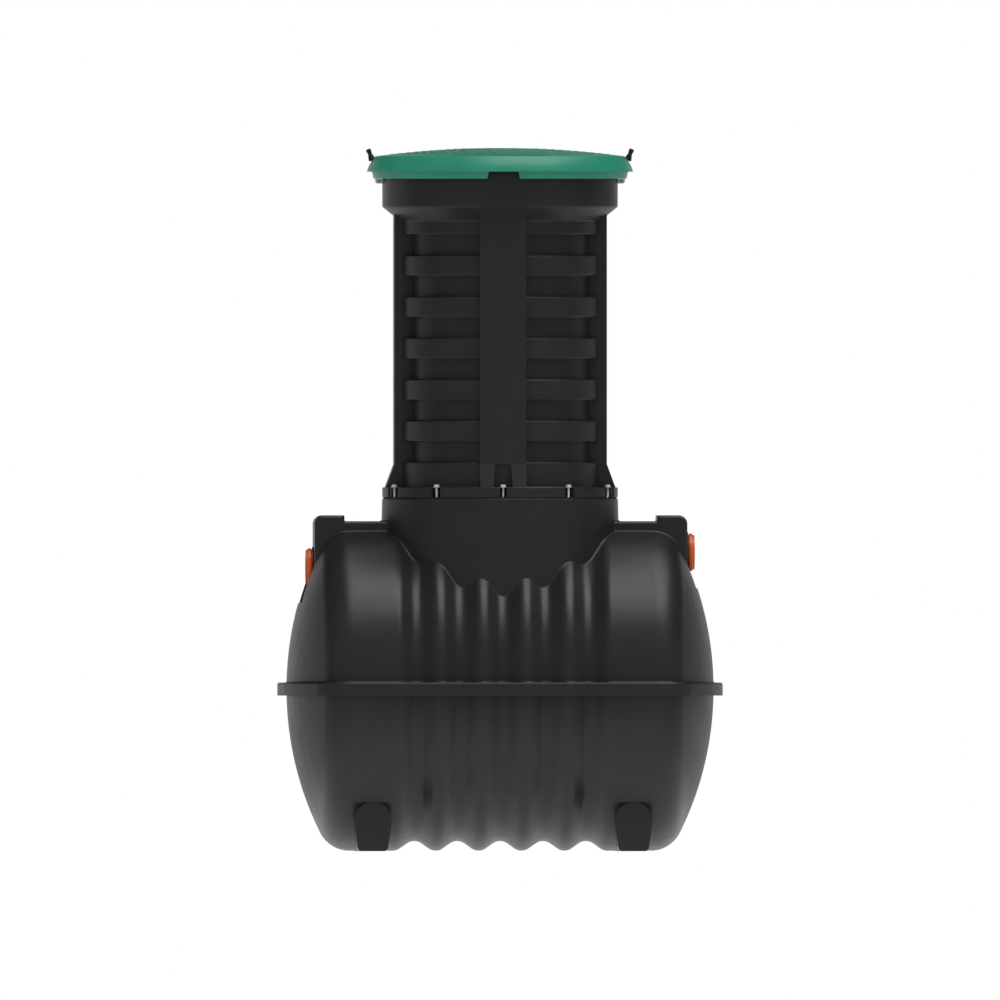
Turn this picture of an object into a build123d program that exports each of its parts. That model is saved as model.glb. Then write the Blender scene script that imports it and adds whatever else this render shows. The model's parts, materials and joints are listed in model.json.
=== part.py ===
"""Underground septic tank: a lying corrugated shell in two halves, a bolted riser and a lift-off lid.

Millimetres. +X runs along the tank from the outlet to the inlet, +Y points to the back, +Z up.
The origin is on the ground under the middle of the tank.
"""

import os
from math import acos, asin, atan2, cos, degrees, hypot, radians, sin, sqrt, tan

from build123d import *

# Main body, a cylinder along X with dished ends
BODY_RADIUS = 550.0
BODY_WALL = 8.0
BODY_CLEARANCE = 1.5
STRAIGHT_HALF_LENGTH = 513.0
CROWN_RADIUS = 1100.0
KNUCKLE_RADIUS = 110.0

# Grooves round the body
GROOVE_COUNT = 5
GROOVE_PITCH = 146.0
GROOVE_DEPTH = 33.0
GROOVE_RADIUS = 41.0

# Flange between the two halves
SEAM_ABOVE_AXIS = 4.0
FLANGE_REACH = 31.0
FLANGE_TOP_ABOVE_AXIS = 22.0
FLANGE_DROP_BELOW_AXIS = 22.5
FLANGE_SKIRT = 8.0
FLANGE_PLATE = 14.0
FLANGE_EDGE_RADIUS = 7.0
FLANGE_COVE = 6.0
SKIRT_CLEARANCE = 1.0
SEAL_INSET = 7.0
SEAL_WIDTH = 9.0
SEAL_HEIGHT = 6.0
SEAL_CLEARANCE = 0.2

# Feet
FOOT_SPACING = 887.0
FOOT_FRONT = 394.0
FOOT_INNER = 190.0
FOOT_BASE_WIDTH = 100.0
FOOT_SHOULDER_WIDTH = 128.0
FOOT_SHOULDER_HEIGHT = 99.0
FOOT_ARCH_HEIGHT = 168.0
FOOT_CORNER_RADIUS = 14.0
FOOT_JOIN_MARGIN = 22.0

# Neck on the upper half
NECK_RADIUS = 401.0
NECK_DRAFT = 9.7
NECK_ABOVE_CROWN = 97.5
NECK_WALL = 8.0
NECK_RING_THICKNESS = 22.0
NECK_EDGE_RADIUS = 4.0
NECK_COVE = 8.0
NECK_JOIN_MARGIN = 10.0
MANHOLE_RADIUS = 300.0
NECK_SEAL_THICKNESS = 4.0

# Pipe boxes along the crown
BOX_WIDTH = 250.0
BOX_SETBACK = 92.0
BOX_ABOVE_CROWN = 20.5
BOX_HEAD_STEP = 20.0
BOX_HEAD_LENGTH = 102.0
BOX_CORNER_RADIUS = 30.0
BOX_STEP_RADIUS = 4.0
BOX_EDGE_RADIUS = 12.0
BOX_COVE = 8.0
POCKET_BELOW_PIPE = 122.0

# Pipes, nominal size DN 110
INLET_BELOW_CROWN = 85.5
PIPE_FALL = 50.0
PIPE_RADIUS = 55.0
PIPE_WALL = 3.2
SOCKET_CLEARANCE = 0.25
SOCKET_WALL = 3.4
SOCKET_DEPTH = 66.0
SOCKET_PROUD = 27.0
SOCKET_LIP_LENGTH = 6.0
SOCKET_EDGE_RADIUS = 1.0
BEAD_LENGTH = 14.0
BEAD_RADIUS = 63.8
BEAD_EDGE_RADIUS = 4.0
RING_WIDTH = 8.0
RING_DEPTH = 3.6
SPIGOT_LENGTH = 52.0
GROMMET_THICKNESS = 5.0
GROMMET_FLANGE_RADIUS = 69.0
GROMMET_FLANGE = 5.0
TEE_RISE = 95.0
TEE_DROP = 330.0
TEE_BRANCH = 96.0

# Riser
RISER_CLEAR_RADIUS = 313.0
RISER_WALL = 8.0
RISER_BASE_THICKNESS = 34.0
RISER_FLANGE_RADIUS = 400.5
RISER_FLANGE_FOOT_RADIUS = 2.0
RISER_FLANGE_EDGE_RADIUS = 3.0
RISER_COVE = 4.0
RIB_RADIUS = 342.5
RIB_HEIGHT = 69.0
RIB_PITCH = 140.7
RIB_COUNT = 7
FIRST_RIB_ABOVE_BASE = 84.5
RIB_EDGE_RADIUS = 4.0
RIB_FOOT_RADIUS = 2.0
RISER_JOIN_MARGIN = 2.0
FLARE_HEIGHT = 47.0
FLARE_ABOVE_BASE = 941.0
HEAD_RADIUS = 400.5
HEAD_HEIGHT = 112.0
HEAD_FACET = 392.0
HEAD_FOOT_RADIUS = 8.0
HEAD_RIM_RADIUS = 1.5

# Pilasters of the riser
PILASTER_WIDTH = 158.0
PILASTER_FACE = 361.4
GUSSET_FOOT = 391.0
GUSSET_HEIGHT = 79.0
WINDOW_WIDTH = 59.0
WINDOW_WIDENING = 6.0
WINDOW_CORNER_RADIUS = 7.0

# Bolt slots in the base flange
BOLT_COUNT = 10
BOLT_CIRCLE_RADIUS = 381.0
SLOT_WIDTH = 22.0

# Lid
LID_SEAT_GAP = 0.3
LID_SEAL_THICKNESS = 5.0
LID_SEAL_WIDTH = 7.0
LID_LIP_RADIUS = 452.0
LID_LIP_THICKNESS = 4.0
LID_LIP_ABOVE_HEAD = 11.0
LID_SHOULDER_RADIUS = 423.0
LID_SHOULDER_HEIGHT = 49.0
LID_DOME_HEIGHT = 28.0
LID_WALL = 7.0
SHOULDER_BULGE = 3.5
SHOULDER_BULGE_TILT = 30.0
LID_CORNER_SHARE = 0.4
SKIRT_TOP_RADIUS = 436.0
SKIRT_FOOT_RADIUS = 430.0
SKIRT_DEPTH = 23.5
SKIRT_LAP = 2.0
NOTCH_WIDTH_BELOW = 112.0
NOTCH_WIDTH_ABOVE = 101.0

# Lock screws and the catches under them
SCREW_TILT = 21.5
SCREW_SEAT_RADIUS = 434.0
SCREW_SEAT_BELOW_SHOULDER = 14.0
SCREW_BASE_RADIUS = 12.5
SCREW_BASE_HEIGHT = 4.0
SCREW_WAIST_RADIUS = 7.0
SCREW_WAIST_HEIGHT = 22.5
SCREW_TIP_RADIUS = 8.5
SCREW_TIP_FOOT = 32.0
SCREW_HEIGHT = 41.0
SCREW_BASE_EDGE_RADIUS = 1.0
SCREW_WAIST_ROUNDING = 8.0
SCREW_TIP_EDGE_RADIUS = 3.0
SCREW_SHANK_RADIUS = 5.0
SCREW_HOLE_CLEARANCE = 0.4
SCREW_SHANK_LENGTH = 58.0
SCREW_BOSS_WALL = 5.0
SCREW_BOSS_LENGTH = 30.0
CLIP_FACE = 399.0
CLIP_REACH = 424.0
CLIP_WIDTH = 54.0
CLIP_HEIGHT = 16.0
CLIP_BELOW_HEAD = 17.0
CLIP_CORNER_RADIUS = 8.0

# Worked out from the sizes above
APEX = STRAIGHT_HALF_LENGTH + CROWN_RADIUS - sqrt(
    (CROWN_RADIUS - KNUCKLE_RADIUS) ** 2 - (BODY_RADIUS - KNUCKLE_RADIUS) ** 2
)
AXIS_HEIGHT = BODY_RADIUS + BODY_CLEARANCE
CROWN_HEIGHT = AXIS_HEIGHT + BODY_RADIUS
SEAM_HEIGHT = AXIS_HEIGHT + SEAM_ABOVE_AXIS
FLANGE_TOP = AXIS_HEIGHT + FLANGE_TOP_ABOVE_AXIS
FLANGE_BOTTOM = AXIS_HEIGHT - FLANGE_DROP_BELOW_AXIS
NECK_TOP = CROWN_HEIGHT + NECK_ABOVE_CROWN
BOX_END = APEX - BOX_SETBACK
BOX_TOP = CROWN_HEIGHT + BOX_ABOVE_CROWN
BOX_HEAD_TOP = BOX_TOP + BOX_HEAD_STEP
INLET_HEIGHT = CROWN_HEIGHT - INLET_BELOW_CROWN
OUTLET_HEIGHT = INLET_HEIGHT - PIPE_FALL
RISER_BASE = NECK_TOP + NECK_SEAL_THICKNESS
RISER_FLANGE_TOP = RISER_BASE + RISER_BASE_THICKNESS
GUSSET_TOP = RISER_FLANGE_TOP + GUSSET_HEIGHT
FLARE_FOOT = RISER_BASE + FLARE_ABOVE_BASE
HEAD_FOOT = FLARE_FOOT + FLARE_HEIGHT
HEAD_TOP = HEAD_FOOT + HEAD_HEIGHT
LID_LIP = HEAD_TOP + LID_LIP_ABOVE_HEAD
LID_SHOULDER = LID_LIP + LID_SHOULDER_HEIGHT
LID_TOP = LID_SHOULDER + LID_DOME_HEIGHT
NECK_FOOT = AXIS_HEIGHT + BODY_RADIUS / 2
NECK_JOIN = NECK_RADIUS + NECK_DRAFT + NECK_COVE + NECK_JOIN_MARGIN
FOOT_JOIN = FOOT_ARCH_HEIGHT + FOOT_JOIN_MARGIN
LOWER_END_JOIN = FOOT_SPACING / 2
UPPER_END_JOIN = GROOVE_COUNT * GROOVE_PITCH / 2 + GROOVE_RADIUS
RISER_BASE_JOIN = RISER_FLANGE_TOP + RISER_COVE + RISER_JOIN_MARGIN
RISER_HEAD_JOIN = FLARE_FOOT - RIB_EDGE_RADIUS - RISER_JOIN_MARGIN
PIPES = [(1, INLET_HEIGHT), (-1, OUTLET_HEIGHT)]
TALL = 4000.0
NEAR = 1.0


def save(shape, name):
    """Write one named piece."""
    shape.label = name
    export_step(shape, os.path.join("parts", name + ".step"))


def block(x_range, y_range, z_range):
    """A box from its limits along each axis."""
    sizes = [high - low for low, high in (x_range, y_range, z_range)]
    middles = [(high + low) / 2 for low, high in (x_range, y_range, z_range)]
    return Pos(*middles) * Box(*sizes)


def upright(radius, bottom, top):
    """A cylinder about the vertical axis."""
    return Pos(0, 0, bottom) * Cylinder(radius, top - bottom, align=(Align.CENTER, Align.CENTER, Align.MIN))


def turned(points, radii=None):
    """A solid of revolution about Z from a closed outline of (radius, height) points."""
    if radii is None:
        outline = Polyline(*points, close=True)
    else:
        outline = FilletPolyline(*points, radius=radii, close=True)
    return revolve(Plane.XZ * make_face(outline), Axis.Z)


def groove_line(inset):
    """The top of the body in profile, from the left end of the straight part to the right."""
    radius = BODY_RADIUS - inset
    half_pitch = GROOVE_PITCH / 2
    rise = 2 * GROOVE_RADIUS - GROOVE_DEPTH
    slope = asin(2 * GROOVE_RADIUS / hypot(half_pitch, rise)) - atan2(rise, half_pitch)
    crest_arc = GROOVE_RADIUS - inset
    valley_arc = GROOVE_RADIUS + inset
    crest = BODY_RADIUS - GROOVE_RADIUS + crest_arc / cos(slope)
    valley = BODY_RADIUS - GROOVE_DEPTH + GROOVE_RADIUS - valley_arc / cos(slope)
    bend = GROOVE_COUNT * half_pitch - crest_arc * tan(slope / 2)
    points = [(-STRAIGHT_HALF_LENGTH, radius), (-bend, radius)]
    radii = [crest_arc]
    for step in range(2 * GROOVE_COUNT - 1):
        along = (step + 1 - GROOVE_COUNT) * half_pitch
        in_groove = step % 2 == 0
        points.append((along, valley if in_groove else crest))
        radii.append(valley_arc if in_groove else crest_arc)
    points += [(bend, radius), (STRAIGHT_HALF_LENGTH, radius)]
    radii.append(crest_arc)
    return FilletPolyline(*points, radius=radii)


def dished_end(grow, side):
    """The crown and knuckle arcs of one end, side +1 for the inlet end."""
    crown_centre = APEX - CROWN_RADIUS
    lean = degrees(atan2(BODY_RADIUS - KNUCKLE_RADIUS, STRAIGHT_HALF_LENGTH - crown_centre))
    crown = CenterArc((crown_centre, 0), CROWN_RADIUS + grow, 0, lean)
    knuckle = CenterArc(
        (STRAIGHT_HALF_LENGTH, BODY_RADIUS - KNUCKLE_RADIUS), KNUCKLE_RADIUS + grow, lean, 90 - lean
    )
    if side < 0:
        return [mirror(knuckle, Plane.YZ), mirror(crown, Plane.YZ)]
    return [crown, knuckle]


def body_solid(inset):
    """The whole lying body, its surface moved in by inset."""
    reach = APEX - inset
    edges = Curve() + groove_line(inset)
    edges += dished_end(-inset, 1)
    edges += dished_end(-inset, -1)
    edges += Line((-reach, 0), (reach, 0))
    profile = make_face(edges)
    return Pos(0, 0, AXIS_HEIGHT) * revolve(profile, Axis.X)


def hull_plan(grow):
    """The smooth outline of the body seen from above, grown by grow."""
    half = Curve() + dished_end(grow, 1) + dished_end(grow, -1)
    side = BODY_RADIUS + grow
    half += Line((-STRAIGHT_HALF_LENGTH, side), (STRAIGHT_HALF_LENGTH, side))
    whole = half + mirror(half, Plane.XZ)
    return make_face(whole)


def hull_plate(grow, bottom, top):
    """A plate in the plan outline of the body."""
    return Pos(0, 0, bottom) * extrude(hull_plan(grow), top - bottom)


def foot_solid(inset):
    """One arched foot at the origin of X, on the front side, its surface moved in by inset."""
    half_base = FOOT_BASE_WIDTH / 2
    half_shoulder = FOOT_SHOULDER_WIDTH / 2
    arch = (half_shoulder, FOOT_SHOULDER_HEIGHT), (0, FOOT_ARCH_HEIGHT), (-half_shoulder, FOOT_SHOULDER_HEIGHT)
    outline = Curve() + ThreePointArc(*arch)
    outline += Polyline(arch[2], (-half_base, 0), (half_base, 0), arch[0])
    face = make_face(outline)
    lower = face.vertices().sort_by(Axis.Y)[:2]
    face = fillet(lower, FOOT_CORNER_RADIUS)
    if inset:
        face = offset(face, -inset)
    front = -FOOT_FRONT + inset
    back = -FOOT_INNER - inset
    return Pos(0, back, 0) * extrude(Plane.XZ * face, back - front)


def feet(inset):
    """The four feet."""
    foot = foot_solid(inset)
    front_pair = [Pos(side * FOOT_SPACING / 2, 0, 0) * foot for side in (-1, 1)]
    return front_pair + [mirror(piece, Plane.XZ) for piece in front_pair]


def make_lower_half(outer_body, inner_body):
    """The lower half as one moulding, with its flange plate, seal groove and feet."""
    below_seam = block((-APEX * 2, APEX * 2), (-APEX, APEX), (-1, SEAM_HEIGHT))
    plate_grow = FLANGE_REACH - FLANGE_SKIRT - SKIRT_CLEARANCE
    outside = outer_body + feet(0)
    outside = outside & below_seam
    outside += hull_plate(plate_grow, SEAM_HEIGHT - FLANGE_PLATE, SEAM_HEIGHT)
    shell = outside - inner_body
    for hollow in feet(BODY_WALL):
        shell -= hollow
    groove_floor = SEAM_HEIGHT - SEAL_HEIGHT
    groove = hull_plate(SEAL_INSET + SEAL_WIDTH, groove_floor, SEAM_HEIGHT + 1)
    groove -= hull_plate(SEAL_INSET, groove_floor, SEAM_HEIGHT + 1)
    return shell - groove


def make_shell_seal():
    """The rubber ring in the groove of the lower flange."""
    bottom = SEAM_HEIGHT - SEAL_HEIGHT
    outer = hull_plate(SEAL_INSET + SEAL_WIDTH - SEAL_CLEARANCE, bottom, SEAM_HEIGHT)
    return outer - hull_plate(SEAL_INSET + SEAL_CLEARANCE, bottom, SEAM_HEIGHT)


def pipe_box(inset, side, pipe_height):
    """The duct that carries one pipe from the neck to the end wall."""
    end = BOX_END - inset
    head_start = BOX_END - BOX_HEAD_LENGTH + inset
    floor = pipe_height - POCKET_BELOW_PIPE
    top = BOX_TOP - inset
    head_top = BOX_HEAD_TOP - inset
    points = [(0, floor), (end, floor), (end, head_top), (head_start, head_top), (head_start, top), (0, top)]
    corner = BOX_CORNER_RADIUS - inset
    outline = FilletPolyline(*points, radius=[0, 0, corner, BOX_STEP_RADIUS, BOX_STEP_RADIUS, 0], close=True)
    half_width = BOX_WIDTH / 2 - inset
    duct = extrude(Plane.XZ * make_face(outline), half_width, both=True)
    duct = fillet(duct.edges().filter_by(Axis.X).group_by(Axis.Z)[-1], BOX_EDGE_RADIUS - inset / 2)
    return duct if side > 0 else mirror(duct, Plane.YZ)


def pocket(grow, side, pipe_height):
    """The space cut into the dished end in front of the flat end wall."""
    floor = pipe_height - POCKET_BELOW_PIPE - grow
    half_width = BOX_WIDTH / 2 + grow
    space = block((BOX_END - grow, 2 * APEX), (-half_width, half_width), (floor, TALL))
    return space if side > 0 else mirror(space, Plane.YZ)


def spots(edge):
    """Three points along an edge."""
    return [edge @ 0.02, edge @ 0.5, edge @ 0.98]


def box_foot_edges(shape):
    """Where the sides of the pipe boxes meet the body."""
    found = []
    for edge in shape.edges():
        points = spots(edge)
        on_side = all(abs(abs(point.Y) - BOX_WIDTH / 2) < NEAR for point in points)
        below_top = all(point.Z < BOX_TOP - BOX_EDGE_RADIUS - NEAR for point in points)
        runs_along = abs(points[0].X - points[2].X) > NEAR
        if on_side and below_top and runs_along and points[1].Z > INLET_HEIGHT - PIPE_FALL:
            found.append(edge)
    return found


def neck_foot_edges(shape):
    """Where the neck meets the body and the pipe boxes."""
    found = []
    for edge in shape.edges():
        points = spots(edge)
        reaches = [hypot(point.X, point.Y) for point in points]
        on_neck = min(reaches) > NECK_RADIUS - NEAR and max(reaches) < NECK_RADIUS + NECK_DRAFT + NEAR
        if on_neck and all(point.Z < BOX_TOP + NEAR for point in points):
            found.append(edge)
    return found


def flange_foot_edges(shape):
    """Where the flange meets the body."""
    found = []
    for edge in shape.edges():
        points = spots(edge)
        level = all(abs(point.Z - FLANGE_TOP) < NEAR for point in points)
        if level and all(abs(point.Y) < BODY_RADIUS + NEAR and abs(point.X) < APEX + NEAR for point in points):
            found.append(edge)
    return found


def upper_outside(outer_body):
    """The outer form of the upper half, with coves where its parts meet."""
    above_seam = block((-APEX * 2, APEX * 2), (-APEX, APEX), (SEAM_HEIGHT, TALL))
    neck = turned(
        [(0, NECK_FOOT), (NECK_RADIUS + NECK_DRAFT, NECK_FOOT), (NECK_RADIUS, NECK_TOP), (0, NECK_TOP)],
        [0, 0, NECK_EDGE_RADIUS, 0],
    )
    plate = hull_plate(FLANGE_REACH, FLANGE_BOTTOM, FLANGE_TOP)
    plate = fillet(plate.edges().group_by(Axis.Z)[-1], FLANGE_EDGE_RADIUS)
    plate -= hull_plate(FLANGE_REACH - FLANGE_SKIRT, FLANGE_BOTTOM, SEAM_HEIGHT)
    outside = outer_body & above_seam
    for side, height in PIPES:
        outside += pipe_box(0, side, height)
    outside = fillet(box_foot_edges(outside), BOX_COVE)
    for side, height in PIPES:
        outside -= pocket(0, side, height)
    outside += neck
    outside = fillet(neck_foot_edges(outside), NECK_COVE)
    outside += plate
    return fillet(flange_foot_edges(outside), FLANGE_COVE)


def upper_hollow(inner_body):
    """The space inside the upper half."""
    hollow = inner_body
    for side, height in PIPES:
        hollow -= pocket(BODY_WALL, side, height)
        hollow += pipe_box(BODY_WALL, side, height)
    return hollow + upright(NECK_RADIUS - NECK_WALL, NECK_FOOT, NECK_TOP - NECK_RING_THICKNESS)


def make_upper_half(outer_body, inner_body):
    """The upper half as one moulding: body, neck, pipe boxes, pockets and covering flange."""
    half = upper_outside(outer_body) - upper_hollow(inner_body)
    half -= upright(MANHOLE_RADIUS, NECK_TOP - 2 * NECK_RING_THICKNESS, TALL)
    hole_radius = PIPE_RADIUS + SOCKET_CLEARANCE + SOCKET_WALL + GROMMET_THICKNESS
    for side, height in PIPES:
        half -= Pos(side * BOX_END, 0, height) * Rot(0, 90, 0) * Cylinder(hole_radius, 4 * BODY_WALL)
    return half


def parted_walls(shell, half, join):
    """The two ends and two sides of a half, cut at a distance along the tank, as named pieces."""
    pieces = {}
    for side, end in ((1, "inlet"), (-1, "outlet")):
        along = sorted((side * join, side * 2 * APEX))
        pieces[f"{half}_{end}_end"] = shell & block(along, (-TALL, TALL), (0, TALL))
    for side, face in ((-1, "front"), (1, "back")):
        across = sorted((0, side * TALL))
        pieces[f"{half}_{face}_side"] = shell & block((-join, join), across, (0, TALL))
    return pieces


def parted_lower_half(shell):
    """The lower half as its bottom with the feet, two ends and two sides, which meet flush."""
    below = block((-TALL, TALL), (-TALL, TALL), (-TALL, FOOT_JOIN))
    return {"lower_bottom": shell & below} | parted_walls(shell - below, "lower", LOWER_END_JOIN)


def parted_upper_half(shell):
    """The upper half as its neck, two ends and two sides, which meet flush."""
    core = upright(NECK_JOIN, SEAM_HEIGHT, TALL)
    return {"neck": shell & core} | parted_walls(shell - core, "upper", UPPER_END_JOIN)


def along_pipe(shape, side, pipe_height):
    """Turn a piece made about Z, its mouth up, to the end wall of one side."""
    return Pos(side * BOX_END, 0, pipe_height) * Rot(0, side * 90, 0) * shape


def make_socket():
    """A pipe socket about Z, with the outside of the wall at z = 0."""
    bore = PIPE_RADIUS + SOCKET_CLEARANCE
    skin = bore + SOCKET_WALL
    mouth = SOCKET_PROUD
    bead_top = mouth - SOCKET_LIP_LENGTH
    bead_foot = bead_top - BEAD_LENGTH
    shoulder = mouth - SOCKET_DEPTH
    pipe_bore = PIPE_RADIUS - PIPE_WALL
    spigot_end = shoulder - SPIGOT_LENGTH
    edge = SOCKET_EDGE_RADIUS
    bead_edge = BEAD_EDGE_RADIUS
    points = [
        (bore, mouth),
        (skin, mouth),
        (skin, bead_top),
        (BEAD_RADIUS, bead_top),
        (BEAD_RADIUS, bead_foot),
        (skin, bead_foot),
        (skin, shoulder),
        (PIPE_RADIUS, shoulder - SOCKET_WALL),
        (PIPE_RADIUS, spigot_end),
        (pipe_bore, spigot_end),
        (pipe_bore, shoulder),
        (bore, shoulder),
    ]
    radii = [edge, edge, edge, bead_edge, bead_edge, edge, 0, 0, 0, 0, 0, 0]
    socket = turned(points, radii)
    middle = (bead_top + bead_foot) / 2
    groove = upright(bore + RING_DEPTH, middle - RING_WIDTH / 2, middle + RING_WIDTH / 2)
    return socket - groove


def make_socket_ring():
    """The rubber ring in the bead of a socket, flush with its bore."""
    bore = PIPE_RADIUS + SOCKET_CLEARANCE
    middle = SOCKET_PROUD - SOCKET_LIP_LENGTH - BEAD_LENGTH / 2
    bottom = middle - RING_WIDTH / 2
    ring = upright(bore + RING_DEPTH, bottom, bottom + RING_WIDTH)
    return ring - upright(bore + SOCKET_CLEARANCE, bottom - 1, bottom + RING_WIDTH + 1)


def make_grommet():
    """The rubber ring that seals a socket in the wall."""
    inner = PIPE_RADIUS + SOCKET_CLEARANCE + SOCKET_WALL
    outer = inner + GROMMET_THICKNESS
    points = [
        (inner, GROMMET_FLANGE),
        (GROMMET_FLANGE_RADIUS, GROMMET_FLANGE),
        (GROMMET_FLANGE_RADIUS, 0),
        (outer, 0),
        (outer, -BODY_WALL),
        (GROMMET_FLANGE_RADIUS, -BODY_WALL),
        (GROMMET_FLANGE_RADIUS, -BODY_WALL - GROMMET_FLANGE),
        (inner, -BODY_WALL - GROMMET_FLANGE),
    ]
    return turned(points)


def level_bore(radius, start, length, height):
    """A cylinder along X that starts at a place and runs to its right."""
    return Pos(start + length / 2, 0, height) * Rot(0, 90, 0) * Cylinder(radius, length)


def make_dip_tee(side, pipe_height):
    """The upright tee inside the tank that a socket leads into."""
    joint = BOX_END + SOCKET_PROUD - SOCKET_DEPTH - SOCKET_WALL
    sleeve_inner = PIPE_RADIUS + SOCKET_CLEARANCE
    bore = PIPE_RADIUS - PIPE_WALL
    centre = joint - TEE_BRANCH
    seat_start = joint + SOCKET_WALL - SPIGOT_LENGTH
    down = pipe_height - TEE_DROP
    up = pipe_height + TEE_RISE
    tee = Pos(centre, 0, 0) * upright(PIPE_RADIUS, down, up)
    tee += level_bore(sleeve_inner + SOCKET_WALL, centre, TEE_BRANCH, pipe_height)
    tee -= Pos(centre, 0, 0) * upright(bore, down, up)
    tee -= level_bore(bore, centre, TEE_BRANCH, pipe_height)
    tee -= level_bore(sleeve_inner, seat_start, joint - seat_start, pipe_height)
    return tee if side > 0 else mirror(tee, Plane.YZ)


def make_neck_seal():
    """The flat rubber ring between the neck and the riser."""
    ring = upright(NECK_RADIUS - NECK_EDGE_RADIUS, NECK_TOP, RISER_BASE)
    return ring - upright(MANHOLE_RADIUS, NECK_TOP - 1, RISER_BASE + 1)


def riser_profile(inset):
    """The outline of the riser's round wall, its surface moved in by inset."""
    wall = RISER_CLEAR_RADIUS - inset
    rib = RIB_RADIUS - inset
    head = HEAD_RADIUS - inset
    points = []
    for index in range(RIB_COUNT):
        middle = RISER_BASE + FIRST_RIB_ABOVE_BASE + index * RIB_PITCH
        low = middle - RIB_HEIGHT / 2 + inset
        high = middle + RIB_HEIGHT / 2 - inset
        if index > 0:
            points += [(wall, low), (rib, low)]
        if index < RIB_COUNT - 1:
            points += [(rib, high), (wall, high)]
    slope = atan2(HEAD_RADIUS - RIB_RADIUS, FLARE_HEIGHT)
    shift = inset * tan(slope / 2)
    points += [(rib, FLARE_FOOT + shift), (head, HEAD_FOOT + shift)]
    return points


def quarter(turn):
    """A quarter of the space round the axis, its middle turned from +X."""
    wedge = make_face(Polyline((0, 0), (TALL, -TALL), (TALL, TALL), close=True))
    return Rot(0, 0, turn) * extrude(wedge, TALL)


def parted_riser(riser):
    """The riser as its base, its head and a wall round each pilaster, which meet flush."""
    pieces = {
        "riser_base": riser & upright(TALL, RISER_BASE, RISER_BASE_JOIN),
        "riser_head": riser & upright(TALL, RISER_HEAD_JOIN, HEAD_TOP),
    }
    shaft = riser & upright(TALL, RISER_BASE_JOIN, RISER_HEAD_JOIN)
    for side, turn in (("right", 0), ("back", 90), ("left", 180), ("front", -90)):
        pieces[f"riser_{side}_wall"] = shaft & quarter(turn)
    return pieces


def make_riser():
    """The riser in one moulding: base flange, ribbed wall, pilasters, flare and head."""
    outer = [(0, RISER_BASE), (RISER_FLANGE_RADIUS, RISER_BASE), (RISER_FLANGE_RADIUS, RISER_FLANGE_TOP)]
    outer += [(RIB_RADIUS, RISER_FLANGE_TOP)] + riser_profile(0) + [(HEAD_RADIUS, HEAD_TOP), (0, HEAD_TOP)]
    outer_radii = [0, RISER_FLANGE_FOOT_RADIUS, RISER_FLANGE_EDGE_RADIUS, RISER_COVE]
    outer_radii += [RIB_EDGE_RADIUS, RIB_FOOT_RADIUS, RIB_FOOT_RADIUS, RIB_EDGE_RADIUS] * (RIB_COUNT - 1)
    outer_radii += [HEAD_FOOT_RADIUS, HEAD_FOOT_RADIUS, HEAD_RIM_RADIUS, 0]
    outside = turned(outer, outer_radii)
    ledge = RISER_BASE + RISER_WALL
    rib_bore = RIB_RADIUS - RISER_WALL
    inner = [(0, RISER_BASE - 1), (MANHOLE_RADIUS, RISER_BASE - 1), (MANHOLE_RADIUS, ledge), (rib_bore, ledge)]
    inner += riser_profile(RISER_WALL) + [(HEAD_RADIUS - RISER_WALL, HEAD_TOP + 1), (0, HEAD_TOP + 1)]
    inside = turned(inner)
    for turn in (0, 90, 180, 270):
        outside += Rot(0, 0, turn) * pilaster()
        inside += Rot(0, 0, turn) * pilaster_recess()
    for side in (-1, 1):
        outside -= beyond_facet(HEAD_FACET, side)
        outside -= clip_seat(side)
        inside -= beyond_facet(HEAD_FACET - RISER_WALL, side)
    riser = outside - inside
    for index in range(BOLT_COUNT):
        riser -= Rot(0, 0, -90 + index * 360 / BOLT_COUNT) * bolt_slot()
    for turn in (-90, 90):
        riser -= Rot(0, 0, turn) * bolt_window()
    return riser


def flare_height(radius):
    """The height at which the outside of the flare reaches a radius."""
    return FLARE_FOOT + (radius - RIB_RADIUS) * FLARE_HEIGHT / (HEAD_RADIUS - RIB_RADIUS)


def pilaster():
    """One flat pilaster with its sloping gusset, on the +X side, up into the flare."""
    half = PILASTER_WIDTH / 2
    inner_edge = sqrt((RISER_CLEAR_RADIUS - RISER_WALL / 2) ** 2 - half**2)
    top = flare_height(hypot(PILASTER_FACE, half))
    outline = Polyline(
        (inner_edge, RISER_FLANGE_TOP - 1),
        (GUSSET_FOOT, RISER_FLANGE_TOP - 1),
        (PILASTER_FACE, GUSSET_TOP),
        (PILASTER_FACE, top),
        (inner_edge, top),
        close=True,
    )
    return extrude(Plane.XZ * make_face(outline), half, both=True)


def pilaster_recess():
    """The hollow behind one pilaster, on the +X side."""
    half = PILASTER_WIDTH / 2 - RISER_WALL
    reach = PILASTER_FACE - RISER_WALL
    return block((0, reach), (-half, half), (GUSSET_TOP + RISER_WALL, flare_height(PILASTER_FACE)))


def beyond_facet(reach, side):
    """What the flat on the front or back of the head cuts away."""
    beyond = block((-TALL, TALL), (reach, 2 * reach), (FLARE_FOOT, TALL))
    return beyond if side > 0 else mirror(beyond, Plane.XZ)


def bolt_slot():
    """One slot through the base flange, open to the outside, on the +X side."""
    low = RISER_BASE - 1
    high = RISER_FLANGE_TOP + 1
    slot = Pos(BOLT_CIRCLE_RADIUS, 0, 0) * upright(SLOT_WIDTH / 2, low, high)
    outward = block((BOLT_CIRCLE_RADIUS, 2 * BOLT_CIRCLE_RADIUS), (-SLOT_WIDTH / 2, SLOT_WIDTH / 2), (low, high))
    return slot + outward


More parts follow.
